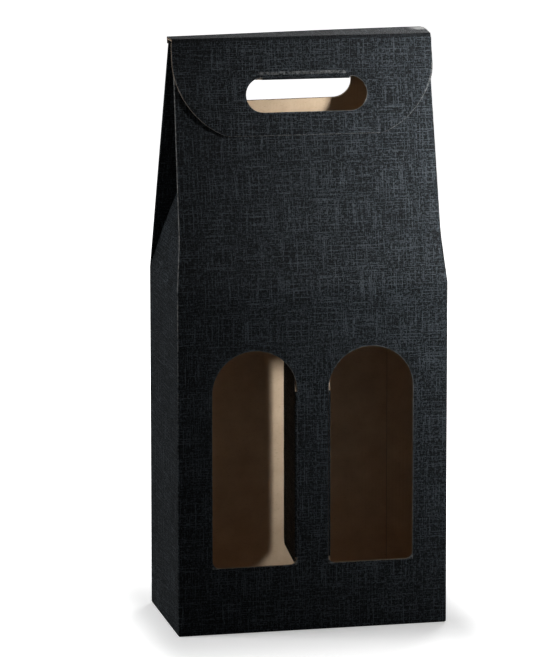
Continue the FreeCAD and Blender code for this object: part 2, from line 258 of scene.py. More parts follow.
def outerHalf(z):
    # the outside from the middle of the front round to the side's middle:
    # a straight front, an arc round the fold, the folded-in half, and half of the side
    above, depth, across, corner, reach = wallShape(z)
    radius = walls["foldRadius"]
    count = walls["columns"]
    centreX = across - radius
    centreY = -depth + radius
    turn = math.pi / 2 * smoothStep(above / walls["foldBlend"])
    angle = -math.pi / 2 + (turn + math.pi / 2)[:, None] * np.linspace(0, 1, count["arc"] + 1)
    arc = flat(centreX[:, None] + radius * np.cos(angle), centreY[:, None] + radius * np.sin(angle))
    end = arc[:, -1]
    inwards = flat(corner, -reach)
    lower = above <= 0
    inwards[lower] = end[lower]
    start = flat(np.zeros_like(z), -depth)
    middle = flat(inwards[:, 0], np.zeros_like(z))
    pieces = [
        between(start, arc[:, 0], count["front"])[:, :-1],
        arc[:, :-1],
        between(end, inwards, count["half"])[:, :-1],
        between(inwards, middle, count["side"] // 2),
    ]
    return np.concatenate(pieces, 1)


def innerHalf(z):
    # the inside with the same columns: one board in, and the corner where both boards meet
    above, depth, across, corner, reach = wallShape(z)
    count = walls["columns"]
    upper = smoothStep(above / walls["insideBlend"])
    depth = depth - board * (1 + upper * (1 / math.cos(lean) - 1))
    innerX, innerRise = walls["sideInner"]
    sideLean = math.atan((walls["halfWidth"] - innerX) / innerRise)
    sideStep = board * (1 + upper * (1 / math.cos(sideLean) - 1))
    corner = corner - sideStep
    slope = walls["insideSlope"] * ((walls["halfDepth"] - walls["topHalfDepth"]) / innerRise)
    halfStep = board * walls["insideStep"]
    meet = corner + sideStep - (reach + halfStep - depth) / slope
    lower = above <= walls["insideStart"]
    meet = np.where(lower, corner, np.clip(meet, corner, across - board))
    reach = np.where(lower, depth, np.minimum(reach + halfStep - sideStep * slope, depth))
    start = flat(np.zeros_like(z), -depth)
    fold = flat(meet, -depth)
    inwards = flat(corner, -reach)
    middle = flat(corner, np.zeros_like(z))
    pieces = [
        between(start, fold, count["front"])[:, :-1],
        np.repeat(fold[:, None], count["arc"], 1),
        between(fold, inwards, count["half"])[:, :-1],
        between(inwards, middle, count["side"] // 2),
    ]
    return np.concatenate(pieces, 1)


def mirrored(half):
    # the front half loop and its mirror image behind it
    return np.concatenate([half, half[:, -2::-1] * (1, -1)], 1)


def wallHeights():
    # even rows up to the shoulder, close ones across it and even ones on to the top
    near = walls["shoulder"] + np.array(walls["shoulderRows"])
    low = np.linspace(walls["footRadius"], near[0], walls["lowRows"])[:-1]
    high = np.linspace(near[-1], walls["top"], walls["highRows"])[1:]
    return np.concatenate([low, near, high])


def makeWalls():
    # the outlines at all heights, outside and inside, and their mirror image on the left
    z = wallHeights()
    outer = mirrored(outerHalf(z))
    inner = mirrored(innerHalf(z))
    # the foot: the lowest outline drawn in along a quarter circle
    turn = np.linspace(0, math.pi / 2, walls["footRows"])[:-1]
    inset = walls["footRadius"] * (1 - np.sin(turn))
    footZ = walls["footRadius"] * (1 - np.cos(turn))
    scale = np.array([walls["halfWidth"], walls["halfDepth"]])
    foot = outer[:1] * (1 - inset[:, None, None] / scale)
    outer = np.concatenate([foot, outer])
    inner = np.concatenate([np.repeat(inner[:1], len(foot), 0), inner])
    heights = np.concatenate([footZ, z])
    levels = np.repeat(heights[:, None], outer.shape[1], 1)
    outer = np.concatenate([outer, levels[..., None]], -1)
    inner = np.concatenate([inner, levels[..., None]], -1)
    # the back is drawn in more towards its top, and runs there in one straight line
    ends = [walls["shoulder"], walls["top"]]
    backWidth = np.interp(heights, ends, [walls["halfWidth"], walls["backTopHalfWidth"]])
    frontWidth = wallShape(heights)[2]
    narrow = (backWidth / frontWidth)[:, None] - 1
    for surface in (outer, inner):
        behind = smoothStep(surface[..., 1] / walls["backBlend"])
        surface[..., 0] *= 1 + narrow * behind
    # u is the way round the outside from the middle of the front, v the way up the slope
    step = np.linalg.norm(np.diff(outer[..., :2], axis=1), axis=-1)
    around = np.concatenate([np.zeros((len(outer), 1)), np.cumsum(step, 1)], 1)
    rise = np.where(heights > walls["shoulder"], (heights - walls["shoulder"]) / math.cos(lean), 0)
    up = np.minimum(heights, walls["shoulder"]) + rise
    uv = flat(around, up[:, None])
    parts = boardSheet(outer, inner, uv, edgeColumns=())
    flip = np.array([-1, 1, 1])
    parts += boardSheet(outer * flip, inner * flip, uv * (-1, 1), edgeColumns=())
    return meshObject("cartonWalls", parts)


window = {
    "inset": 0.0104,
    "width": 0.0566,
    "sill": 0.0445,
    "height": 0.1445,
    "corner": 0.0050,
    "points": 24,  # on each quarter turn of the arch
    "sidePoints": 10,
    "rimWear": 0.50,
}


def windowLoop(side, margin=0.0):
    # straight sides, round lower corners and a half circle on top, anticlockwise from the foot
    near = window["inset"] + margin
    far = window["inset"] + window["width"] - margin
    middle = (near + far) / 2
    radius = (far - near) / 2
    corner = window["corner"] - margin
    spring = window["height"] - window["width"] / 2
    quarter = np.linspace(0, math.pi / 2, window["points"] // 3)
    arch = np.linspace(0, math.pi, window["points"] * 2)
    inwards = corner - corner * np.sin(quarter)
    upwards = corner - corner * np.cos(quarter)
    low = flat(far - inwards, margin + upwards)
    top = flat(middle + radius * np.cos(arch), spring + radius * np.sin(arch))
    last = flat(near + upwards, margin + inwards)
    rising = between(low[-1:], top[:1], window["sidePoints"])[0, 1:-1]
    falling = between(top[-1:], last[:1], window["sidePoints"])[0, 1:-1]
    return np.concatenate([low, rising, top, falling, last]) * (side, 1)


slot = {
    "drop": 0.0263,
    "shift": 0.0021,  # it sits a little right of the middle
    "length": 0.0805,
    "width": 0.0226,
    "margin": 0.001,
    "corner": 0.005,
    "backRise": 0.0030,  # the one in the back panel sits higher and the other way
    "backShift": -0.0014,
    "foldTail": 0.0004,
    "points": 14,
    "rimWear": 0.55,
}


def slotLoop(low, length, across, radius, shift=slot["shift"]):
    # a rectangle with round corners; with a radius of half its width its ends are round
    turn = np.linspace(0, math.pi / 2, slot["points"])
    run = length / 2 - radius
    near = low + radius
    far = low + across - radius
    arcs = []
    for quarter, (x, y) in enumerate([(run, far), (-run, far), (-run, near), (run, near)]):
        angle = turn + quarter * math.pi / 2
        arcs.append(flat(x + radius * np.cos(angle), y + radius * np.sin(angle)))
    return np.concatenate(arcs) + (shift, 0)


def cutter(name, loop, place):
    # a prism along the loop, three boards past the board on both sides; place turns the
    # loop's x, y and a depth into a point
    near, far = -3 * board, 4 * board
    points = np.concatenate([place(loop[:, 0], loop[:, 1], depth) for depth in (near, far)])
    count = len(loop)
    mesh = bpy.data.meshes.new(name)
    step = np.arange(count)
    following = (step + 1) % count
    quads = np.stack([step, following, following + count, step + count], -1)
    faces = quads.tolist() + [list(range(count))[::-1], list(range(count, 2 * count))]
    mesh.from_pydata(points.tolist(), [], faces)
    here, there = loop[:, 0], loop[following, 0]
    uv = np.stack([flat(here, near), flat(there, near), flat(there, far), flat(here, far)], 1)
    layer = mesh.uv_layers.new(name="sheet")
    values = np.concatenate([uv.reshape(-1, 2), np.zeros((2 * count, 2))])
    layer.data.foreach_set("uv", values.reshape(-1).astype(np.float32))
    mesh.polygons.foreach_set("material_index", np.full(len(faces), cutEdge, np.int32))
    return sceneObject(name, mesh)


def onFront(x, y, depth):
    # the front wall: y is the height, depth is counted from its outer face inwards
    return np.stack([x, np.full_like(x, depth - walls["halfDepth"]), y + window["sill"]], -1)


def onSlope(x, s, depth, back=False):
    # the leaning front: s runs down from the fold line, depth inwards from the flap's face
    if not back:  # turned with the flap
        away = x - flap["halfWidth"]
        cos, sin = math.cos(flap["turn"]), math.sin(flap["turn"])
        x, s = flap["halfWidth"] + away * cos - s * sin, s * cos + away * sin
    points = foldLine + s[..., None] * downSlope + np.asarray(depth)[..., None] * intoFlap
    points = points + np.stack([x, np.zeros_like(x), np.zeros_like(x)], -1)
    return points * (1, -1, 1) if back else points


def cutOpenings(thing):
    # windows through the front wall, and the hand slots through both leaning panels
    low = slot["drop"] - slot["margin"]
    length = slot["length"] + 2 * slot["margin"]
    across = slot["width"] + 2 * slot["margin"]
    panelAt = board + flap["gap"]
    frontSlot = slotLoop(low, length, across, slot["corner"])
    backLow = slot["drop"] - slot["backRise"]
    backSlot = slotLoop(backLow, slot["length"], slot["width"], slot["width"] / 2, slot["backShift"])

    def frontPanel(x, s, depth):
        return onSlope(x, s, np.full_like(x, depth + panelAt))

    def backPanel(x, s, depth):
        return onSlope(x, s, np.full_like(x, depth + panelAt), back=True)

    cutters = [
        cutter("windowCutLeft", windowLoop(-1), onFront),
        cutter("windowCutRight", windowLoop(1), onFront),
        cutter("slotCutFront", frontSlot, frontPanel),
        cutter("slotCutBack", backSlot, backPanel),
    ]
    for tool in cutters:
        cutting = thing.modifiers.new(tool.name, "BOOLEAN")
        cutting.operation = "DIFFERENCE"
        cutting.solver = "EXACT"
        cutting.object = tool
    shaped = thing.evaluated_get(bpy.context.evaluated_depsgraph_get())
    mesh = bpy.data.meshes.new_from_object(shaped)
    thing.modifiers.clear()
    thing.data = mesh
    mesh.name = thing.name
    for tool in cutters:
        bpy.data.objects.remove(tool)


def bowWalls(thing):
    # each panel sinks inwards by the bow times a half sine along both its sides
    spots = pointsOf(thing.data)
    x, y, z = spots.T
    shoulder = walls["shoulder"]
    lowShare = np.clip(z / shoulder, 0, 1)
    highShare = np.clip((z - shoulder) / (walls["top"] - shoulder), 0, 1)
    highWave = walls["upperBow"] * np.sin(math.pi * highShare)
    wave = np.where(z < shoulder, np.sin(math.pi * lowShare), highWave)
    across = np.clip(1 - (x / walls["halfWidth"]) ** 2, 0, 1)
    deep = np.abs(y) / wallShape(z)[1]
    spots[:, 1] -= np.sign(y) * walls["bow"] * wave * across * smoothFrom(deep, *walls["bowFade"])
    along = np.clip(1 - (y / walls["halfDepth"]) ** 2, 0, 1)
    sideways = smoothFrom(np.abs(x) / walls["halfWidth"], *walls["sideBowFade"]) * (z < shoulder)
    spots[:, 0] -= np.sign(x) * walls["bow"] * np.sin(math.pi * lowShare) * along * sideways
    thing.data.vertices.foreach_set("co", spots.reshape(-1).astype(np.float32))


# flaps, tab and strips


def atAngles(loop, centre, angles):
    # the loop's points seen from the centre at the given angles
    away = loop - centre
    seen = np.arctan2(away[:, 1], away[:, 0])
    order = np.argsort(seen)
    seen, ordered = seen[order], loop[order]
    seen = np.concatenate([seen - 2 * math.pi, seen, seen + 2 * math.pi])
    ordered = np.concatenate([ordered] * 3)
    return flat(np.interp(angles, seen, ordered[:, 0]), np.interp(angles, seen, ordered[:, 1]))


def dense(loop, step=0.0004):
    # the same closed loop with points at most one step apart
    following = np.roll(loop, -1, 0)
    counts = np.maximum(np.ceil(np.linalg.norm(following - loop, axis=1) / step), 1).astype(int)
    side = np.repeat(np.arange(len(loop)), counts)
    place = np.arange(counts.sum()) - np.repeat(np.cumsum(counts) - counts, counts)
    share = (place / counts[side])[:, None]
    return loop[side] * (1 - share) + following[side] * share


flap = {
    "halfWidth": 0.0863,
    "length": 0.064,
    "straight": 0.015,
    "round": 0.052,
    "start": 0.00185,
    "gap": 0.001,
    "columns": 200,
    "rows": 11,
    "rimRows": (0.0, 0.0004, 0.0009, 0.0016),  # how far these rows lie in from both cuts
    "sideSwell": 0.0011,  # its right side swells out a little
    "swellFrom": 0.06,
    "swellAt": 0.028,
    "swellLength": 0.011,
    "turn": math.radians(0.70),  # it hangs slightly turned, about the right end of its fold
    "topRound": 0.0013,
    "topPoints": 7,
    "roundPoints": 40,
    "rest": 0.0007,  # its foot lies this much nearer to the panel
    "curl": 0.0043,
    "curlAcross": (0.025, 0.05),  # where the curl begins left of the middle, and how far it grows
    "curlDown": (0.012, 0.034),
    "press": 0.00050,  # the knife presses the board down along its cuts
    "pressWidth": 0.0015,
    "pressStart": 0.003,
    "rimWear": 0.50,
}


def flapLoop():
    # straight sides, then large round corners that end in a long flat lower edge
    half, radius = flap["halfWidth"], flap["round"]
    drop = flap["length"] - flap["straight"]
    last = math.asin(drop / radius)
    turn = np.linspace(0, last, flap["roundPoints"])
    side = flat(half - radius + radius * np.cos(turn), flap["straight"] + radius * np.sin(turn))
    small = flap["topRound"]
    bend = np.linspace(-math.pi / 2, 0, flap["topPoints"])
    top = flat(half - small + small * np.cos(bend), flap["start"] + small + small * np.sin(bend))
    right = np.concatenate([top, side])
    return np.concatenate([right, right[::-1] * (-1, 1)])


def flapLift(x, s):
    # how far the flap lies in from its plane: its foot rests nearly on the panel, its left
    # lower corner curls away from it
    left = smoothFrom(-x, *flap["curlAcross"])
    rest = flap["rest"] * smoothStep(s / flap["length"]) * (1 - left)
    return rest - flap["curl"] * left * smoothFrom(s, *flap["curlDown"])


def makeFlap():
    # rings from the slot's cut out to the flap's outline, at the same angles about the slot
    outline = flapLoop()
    hole = slotLoop(slot["drop"], slot["length"], slot["width"], slot["width"] / 2)
    centre = np.array([slot["shift"], slot["drop"] + slot["width"] / 2])
    rounds = np.concatenate([outline[:flap["topPoints"]], outline[-flap["topPoints"]:]])
    corners = np.arctan2(rounds[:, 1] - centre[1], rounds[:, 0] - centre[0])
    evenly = np.linspace(-math.pi, math.pi, flap["columns"] + 1)[:-1]
    angles = np.sort(np.concatenate([evenly, corners]))
    angles = np.append(angles, angles[0] + 2 * math.pi)
    near = atAngles(dense(hole), centre, angles)
    far = atAngles(dense(outline), centre, angles)
    swell = flap["sideSwell"] * np.exp(-(((far[:, 1] - flap["swellAt"]) / flap["swellLength"]) ** 2))
    far[:, 0] += np.where(far[:, 0] > flap["swellFrom"], swell, 0)
    # rows follow both cuts closely and spread out evenly between them
    reach = np.linalg.norm(far - near, axis=1)
    rim = np.array(flap["rimRows"])[:, None] / reach
    middle = np.linspace(0, 1, flap["rows"] + 2)[1:-1, None]
    share = np.concatenate([rim, rim[-1] + middle * (1 - 2 * rim[-1]), 1 - rim[::-1]])
    spots = near[None] * (1 - share[..., None]) + far[None] * share[..., None]
    x, s = spots[..., 0], spots[..., 1]
    fromCut = np.minimum(share, 1 - share) * reach
    press = flap["press"] * (1 - smoothStep(fromCut / flap["pressWidth"]))
    press = press * smoothFrom(s, flap["start"], flap["pressStart"])
    lift = flapLift(x, s)
    outer = onSlope(x, s, lift + press)
    inner = onSlope(x, s, lift + board)
    return meshObject("closingFlap", boardSheet(outer, inner, spots, edgeColumns=()))


def plateGrid(loop, spine, rows):
    # rows from a spine inside the plate out to its edge, for a plate without a hole
    share = np.linspace(0, 1, rows)[:, None, None]
    return spine[None] * (1 - share) + loop[None] * share


def turnAbout(points, point, axis, degrees):
    # turns points about an axis through a point
    axis = np.asarray(axis, float) / np.linalg.norm(axis)
    angle = math.radians(degrees)
    away = points - point
    along = (away @ axis)[..., None] * axis
    return point + along + (away - along) * math.cos(angle) + np.cross(axis, away) * math.sin(angle)


tab = {"turn": 100.0, "rows": 5, "step": 0.002}


def makeTab():
    # the piece from the hand slot, turned in about its upper edge
    low = slot["drop"] + paper["clear"]
    across = slot["width"] - 2 * paper["clear"]
    loop = dense(slotLoop(low, slot["length"] - 2 * paper["clear"], across, across / 2), tab["step"])
    loop = np.concatenate([loop, loop[:1]])
    run = slot["length"] / 2 - slot["width"] / 2
    middle = np.clip(loop[:, 0], slot["shift"] - run, slot["shift"] + run)
    spine = flat(middle, np.full(len(loop), low + across / 2))
    spots = plateGrid(loop, spine, tab["rows"])
    x, s = spots[..., 0], spots[..., 1]
    axis = joints["hand_tab_fold"]["axis"]
    outer, inner = (
        turnAbout(onSlope(x, s, np.full_like(x, depth)), hinge("hand_tab_fold"), axis, -tab["turn"])
        for depth in (0.0, board)
    )
    return meshObject("handTab", boardSheet(outer, inner, spots, edgeRows=(-1,), edgeColumns=()))


windowFlap = {"turn": 95.0, "rows": 8, "step": 0.004}


def makeWindowFlap(name, side):
    # the piece from the window, turned in about the window's inner edge
    loop = dense(windowLoop(side, paper["clear"]), windowFlap["step"])
    loop = np.concatenate([loop, loop[:1]])
    middle = side * (window["inset"] + window["width"] / 2)
    reach = window["width"] / 2
    spine = flat(np.full(len(loop), middle), np.clip(loop[:, 1], reach, window["height"] - reach))
    spots = plateGrid(loop, spine, windowFlap["rows"])
    x, y = spots[..., 0], spots[..., 1]
    joint = "window_flap_left_fold" if side < 0 else "window_flap_right_fold"
    outer, inner = (
        turnAbout(onFront(x, y, depth), hinge(joint), (0, 0, side), windowFlap["turn"])
        for depth in (0.0, board)
    )
    uv = spots + (0, window["sill"])
    return meshObject(name, boardSheet(outer, inner, uv, edgeRows=(-1,), edgeColumns=()))


ridge = {
    "halfWidth": 0.0858,
    "round": 0.0012,
    "foldRound": 0.0015,
    "foldInset": 0.0004,
    "foldTail": 0.0009,
    "foldShade": 0.35,  # painted shade: the bent paper's threads are drawn darker for the shadow along the crease
    "proud": 0.0004,  # the bend stands this far out behind the back panel
    "footDrop": 0.0040,
    "footProud": 0.0001,
    "rows": (0.0016, 0.0060, 0.0085),  # in from the back: close rows from, to, and where the rest begin
    "rowCounts": (6, 7, 6),  # of the bend, the close rows and the rest
    "columns": 48,
    "crown": 0.0013,  # the back edge is higher by this
    "sag": 0.0008,  # less this at its left end
    "sagFrom": (-0.05, 0.16),  # counted to the left of the middle: where the sag begins, and its way
    "topBand": 0.0035,  # only what lies this close to the top is lifted
    "cornerRound": 0.0045,
    "leftCorner": 0.3,  # the left corner's share of that round
    "cornerStart": 0.72,
    "cornerSpan": 0.08,
    "sheetStart": 0.39,  # where the strip begins on the flat sheet
}


def makeRidge():
    # the strip from the back panel over the ridge: its profile carried along x
    high = cadHigh[2]
    back = walls["topHalfDepth"]
    radius, drop = ridge["round"], ridge["footDrop"]
    bendRows, closeRows, restRows = ridge["rowCounts"]
    turn = np.linspace(0, math.pi / 2 - lean / 2, bendRows)
    foot = np.array([[back + drop * math.tan(lean) + ridge["footProud"], high - drop]])
    bendMiddle = back + ridge["proud"] - radius
    bend = flat(bendMiddle + radius * np.cos(turn), high - radius + radius * np.sin(turn))
    first, second, third = ridge["rows"]
    steps = np.concatenate([
        np.linspace(back - first, back - second, closeRows),
        np.linspace(back - third, foldLine[1] + ridge["foldRound"], restRows),
    ])
    front = flat(steps, high)
    outer = np.concatenate([foot, bend, front])
    inner = outer + np.concatenate([
        [[-board, 0.0]],
        -flat(np.cos(turn), np.sin(turn)) * board,
        np.repeat([[0, -board]], len(front), 0),
    ])
    x = np.linspace(-ridge["halfWidth"], ridge["halfWidth"], ridge["columns"] + 1)
    length = np.concatenate([[0], np.cumsum(np.linalg.norm(np.diff(outer, axis=0), axis=1))])
    crown = ridge["crown"] - ridge["sag"] * smoothFrom(-x, *ridge["sagFrom"])
    # the back corners are rubbed round, the right one more
    corner = ridge["cornerRound"] * np.where(x > 0, 1.0, ridge["leftCorner"])
    surfaces = []
    for profile in (outer, inner):
        y = np.repeat(profile[:, :1], len(x), 1)
        z = np.repeat(profile[:, 1:], len(x), 1)
        away = np.clip((y - foldLine[1]) / (back - foldLine[1]), 0, 1)
        top = z > high - ridge["topBand"]
        rise = (flap["halfWidth"] - x) * math.sin(flap["turn"]) * (1 - away) * top
        y = y + rise * math.sin(lean)
        z = z + rise * math.cos(lean) + crown * away * top
        curve = np.clip(away - ridge["cornerStart"], 0, 1) ** 2 / ridge["cornerSpan"]
        inset = corner * (1 - np.sqrt(np.clip(1 - curve, 0, 1)))
        ends = x * (1 - inset / ridge["halfWidth"])
        surfaces.append(np.stack([ends, y, z], -1))
    uv = flat(np.broadcast_to(x, (len(outer), len(x))), (length + ridge["sheetStart"])[:, None])
    return meshObject("ridgeStrip", boardSheet(surfaces[0], surfaces[1], uv))


def bentLiner(name, centre, first, last, radius, ends, tail=0.0, count=7, stations=41):
    # outer paper bent round a fold: an arc from one direction to the other with a straight
    # tail at each end, carried along a line
    share = np.linspace(0, 1, count)
    angle = math.acos(np.clip(np.dot(first, last), -1, 1))
    turned = np.sin((1 - share) * angle)[:, None] * first + np.sin(share * angle)[:, None] * last
    turned = turned / math.sin(angle)
    leave = (last * math.cos(angle) - first) / math.sin(angle) * tail
    enter = (first * math.cos(angle) - last) / math.sin(angle) * tail
    turned = turned[[0] + list(range(count)) + [count - 1]]
    shift = np.zeros_like(turned)
    shift[0], shift[-1] = enter, leave
    along = np.linspace(0, 1, stations)[:, None]
    line = ends[0] * (1 - along) + ends[1] * along
    outer, inner = (
        centre + line[None] + (turned * size + shift)[:, None] for size in (radius, radius - paper["liner"])
    )
    length = np.concatenate([[-tail], share * angle * radius, [angle * radius + tail]])
    uv = flat(np.linalg.norm(line - ends[0], axis=1)[None], length[:, None])
    return meshObject(name, boardSheet(outer, inner, uv))


def makeRidgeFold():
    # where the strip turns down into the closing flap
    radius = ridge["foldRound"]
    up = np.array([0.0, 0, 1])
    outward = -intoFlap
    halfTurn = math.acos(np.dot(up, outward)) / 2
    away = (up + outward) / np.linalg.norm(up + outward)
    centre = foldLine * (0, 1, 1) - away * radius / math.cos(halfTurn)
    reach = flap["halfWidth"] - ridge["foldInset"]
    ends = np.array([[-reach, 0, 0], [reach, 0, 0]])
    ends[0] -= downSlope * 2 * reach * math.sin(flap["turn"])
    return bentLiner("ridgeFold", centre, up, outward, radius, ends, ridge["foldTail"])


def makeTabFold():
    # where the flap's paper bends in over the upper edge of the hand slot
    run = (slot["length"] - slot["width"]) / 2
    x = slot["shift"] + np.array([-run, run])
    ends = onSlope(x, np.full(2, slot["drop"]), np.full(2, board) + flapLift(x, slot["drop"]))
    first = -intoFlap
    last = turnAbout(first, np.zeros(3), joints["hand_tab_fold"]["axis"], -tab["turn"])
    return bentLiner("tabFold", np.zeros(3), first, last, board, ends, slot["foldTail"])


def makeWindowFold(name, side):
    # where the front's paper bends in round the window's inner edge
    centre = hinge("window_flap_left_fold" if side < 0 else "window_flap_right_fold") * (1, 1, 0)
    low = window["sill"] + window["corner"]
    high = window["sill"] + window["height"] - window["width"] / 2
    turn = math.radians(windowFlap["turn"])
    first = np.array([0.0, -1, 0.0])
    last = np.array([side * math.sin(turn), -math.cos(turn), 0])
    return bentLiner(name, centre, first, last, board, np.array([[0, 0, low], [0, 0, high]]))


base = {
    "lap": 0.009,
    "hook": 0.014,
    "gap": 0.0008,
    "inset": 0.0010,
    "sideFlap": 0.058,
    "taper": 0.006,
    "points": (61, 9),  # along the joint and across it
    "sidePoints": (13, 17),
}


def basePlate(name, side):
    # one outer base flap: from its wall to the hooked joint that both flaps share
    along, out = base["points"]
    x = np.linspace(-1, 1, along) * (walls["halfWidth"] - base["inset"])
    wall = side * (walls["halfDepth"] - base["inset"])
    hook, lap = base["hook"], base["lap"]
    joint = np.interp(x, [-hook, hook], [-lap, lap]) + side * base["gap"] / 2
    share = np.linspace(0, 1, out)[:, None]
    y = wall * (1 - share) + joint[None] * share
    x = np.broadcast_to(x, y.shape)
    outer = np.stack([x, y, np.zeros_like(y)], -1)
    inner = outer + (0, 0, board)
    return meshObject(name, boardSheet(outer, inner, flat(x, y)))


def baseSide(name, side):
    # one side flap of the base, lying on the outer flaps
    edge = walls["halfWidth"] - board
    inwards, along = base["sidePoints"]
    x = side * np.linspace(edge, edge - base["sideFlap"], inwards)
    y = np.linspace(-1, 1, along) * (walls["halfDepth"] - board)
    x, y = np.meshgrid(x, y)
    taper = np.clip((edge - np.abs(x)) / base["sideFlap"], 0, 1) * base["taper"]
    y = y * (1 - taper / walls["halfDepth"])
    outer = np.stack([x, y, np.full_like(x, board + paper["glueGap"])], -1)
    inner = outer + (0, 0, board)
    return meshObject(name, boardSheet(outer, inner, flat(y, x)))


seam = {"inner": 0.0705, "low": 0.008, "high": 0.224, "slant": 0.006, "points": (7, 25)}


def makeSeam():
    # the glued flap inside the back wall, with slanted ends
    edge = walls["halfWidth"] - board
    across, up = seam["points"]
    x = np.linspace(seam["inner"], edge, across)
    z = np.linspace(0, 1, up)[:, None]
    slant = seam["slant"] * (edge - x) / (edge - seam["inner"])
    z = (seam["low"] + slant) * (1 - z) + (seam["high"] - slant) * z
    x = np.broadcast_to(x, z.shape)
    face = walls["halfDepth"] - board
    outer = np.stack([x, np.full_like(z, face - paper["glueGap"]), z], -1)
    inner = outer - (0, board, 0)
    return meshObject("glueSeam", boardSheet(outer, inner, flat(x, z)))


# materials


class Nodes:
    # a small helper that adds nodes to a material and links them
    def __init__(self, name):
        self.material = bpy.data.materials.new(name)
        self.material.use_nodes = True
        self.tree = self.material.node_tree
        self.shader = self.tree.nodes["Principled BSDF"]
        self.coordinates = self.tree.nodes.new("ShaderNodeTexCoord")

    def add(self, kind, inputs=None, **settings):
        # one node; an input that is another node's output is linked, any other is set
        node = self.tree.nodes.new(kind)
        for key, value in settings.items():
            setattr(node, key, value)
        for key, value in (inputs or {}).items():
            if isinstance(value, bpy.types.NodeSocket):
                self.tree.links.new(value, node.inputs[key])
            else:
                node.inputs[key].default_value = value
        return node.outputs[0]

    def link(self, output, name):
        # leads an output into the shader
        self.tree.links.new(output, self.shader.inputs[name])

    def bump(self, height, distance, strength):
        # the height as fine relief on the surface
        inputs = {"Height": height, "Distance": distance, "Strength": strength}
        self.link(self.add("ShaderNodeBump", inputs), "Normal")

    def math(self, operation, first, second=0.0, third=0.0):
        # one sum of up to three values
        return self.add("ShaderNodeMath", {0: first, 1: second, 2: third}, operation=operation)

    def minus(self, first, second):
        return self.math("SUBTRACT", first, second)

    def times(self, first, second):
        return self.math("MULTIPLY", first, second)

    def larger(self, first, second=0.0):
        # the larger of the two, or the value held at 0
        return self.math("MAXIMUM", first, second)

    def size(self, value):
        # the value without its sign
        return self.math("ABSOLUTE", value)

    def parts(self, vector):
        # the vector's x, y and z
        return self.add("ShaderNodeSeparateXYZ", {0: vector}).node.outputs

    def noise(self, vector, scale, detail=2.0, roughness=0.5):
        # soft random clouds from 0 to 1
        inputs = {"Vector": vector, "Scale": scale, "Detail": detail, "Roughness": roughness}
        return self.add("ShaderNodeTexNoise", inputs)

    def scaled(self, vector, scale, turn=0.0):
        # the place turned and stretched, for a pattern that is finer one way
        return self.add("ShaderNodeMapping", {"Vector": vector, "Scale": scale, "Rotation": (0, 0, turn)})

    def ramp(self, value, low, high, start=0.0, end=1.0, kind="LINEAR"):
        # start up to low, end from high on, and the way between them in a line or smoothly
        limits = {"Value": value, "From Min": low, "From Max": high, "To Min": start, "To Max": end}
        return self.add("ShaderNodeMapRange", limits, interpolation_type=kind)

    def fade(self, value, start, end):
        # 1 up to the start, falling smoothly to 0 at the end
        return self.ramp(value, start, end, 1.0, 0.0, "SMOOTHSTEP")

    def band(self, value, low, high, soft):
        # 1 between low and high, falling to 0 over the softness on both sides
        rising = self.ramp(value, low - soft, low, kind="SMOOTHSTEP")
        return self.times(rising, self.fade(value, high, high + soft))

    def span(self, first, second):
        # the length of a slanting line from its two sides
        square = self.math("MULTIPLY_ADD", first, first, self.times(second, second))
        return self.math("SQRT", square)

    def mix(self, share, first, second):
        # the first colour at 0, the second at 1
        node = self.tree.nodes.new("ShaderNodeMix")
        node.data_type = "RGBA"
        for key, value in (("Factor_Float", share), ("A_Color", first), ("B_Color", second)):
            socket = next(s for s in node.inputs if s.identifier == key)
            if isinstance(value, bpy.types.NodeSocket):
                self.tree.links.new(value, socket)
            else:
                socket.default_value = value
        return next(s for s in node.outputs if s.identifier == "Result_Color")


# lighter marks on the outer paper: rubbing round the cuts and above the slot, painted highlight along the
# wall folds, and the ridge strip's painted lighter edge and end
wearAndHighlightMarks = {
    "rim": (0.0001, 0.0008),  # the rubbing fades between these distances from a cut
    "outline": (0.0001, 0.0009),
    "streakAcross": (-0.030, 0.028, 0.003),  # from, to and softness
    "streakAbove": (0.0035, 0.0019, 0.0009),  # the same, up from the slot's upper edge
    "streak": 0.46,
    # painted highlight, with some rubbing, along the folds of the walls
    "fold": (0.0003, 0.0009),
    "foldBehind": (0.0012, 0.0022),
    "foldFrom": (-0.001, 0.002),  # heights from the shoulder
    "upright": (0.0006, 0.0012),
    "uprightFoot": 0.25,
    # the ridge strip's back edge and right end are painted lighter
    "ridgeBack": (0.3935, 0.3955, 0.0012),  # places on the flat sheet
    "ridgeBackLightening": 0.35,
    "ridgeRight": (0.081, 0.09, 0.012),
    "ridgeRightUp": (0.392, 0.402, 0.006),
    "ridgeRightLightening": 0.80,
}


def slotDistance(nodes, across, up):
    # how far outside the round-ended slot: the way to its middle line less half its width
    run = (slot["length"] - slot["width"]) / 2
    fromMiddle = nodes.size(nodes.minus(across, slot["shift"]))
    sideways = nodes.larger(nodes.minus(fromMiddle, run))
    rise = nodes.minus(up, slot["drop"] + slot["width"] / 2)
    return nodes.minus(nodes.span(sideways, rise), slot["width"] / 2)


def flapWear(nodes, across, up):
    # along the flap's outline, round its slot, and one rubbed streak above the slot
    sideways = nodes.larger(nodes.minus(nodes.size(across), flap["halfWidth"] - flap["round"]))
    drop = nodes.larger(nodes.minus(up, flap["straight"]))
    corner = nodes.minus(flap["round"], nodes.span(sideways, drop))
    outline = nodes.math("MINIMUM", corner, nodes.minus(flap["length"], up))
    outlineRim = nodes.times(nodes.fade(outline, *wearAndHighlightMarks["outline"]), flap["rimWear"])
    slotRim = nodes.times(nodes.fade(slotDistance(nodes, across, up), *wearAndHighlightMarks["rim"]), slot["rimWear"])
    low, high, soft = wearAndHighlightMarks["streakAbove"]
    above = nodes.band(up, slot["drop"] - low, slot["drop"] - high, soft)
    streak = nodes.times(nodes.band(across, *wearAndHighlightMarks["streakAcross"]), above)
    return nodes.larger(nodes.larger(outlineRim, slotRim), nodes.times(streak, wearAndHighlightMarks["streak"]))


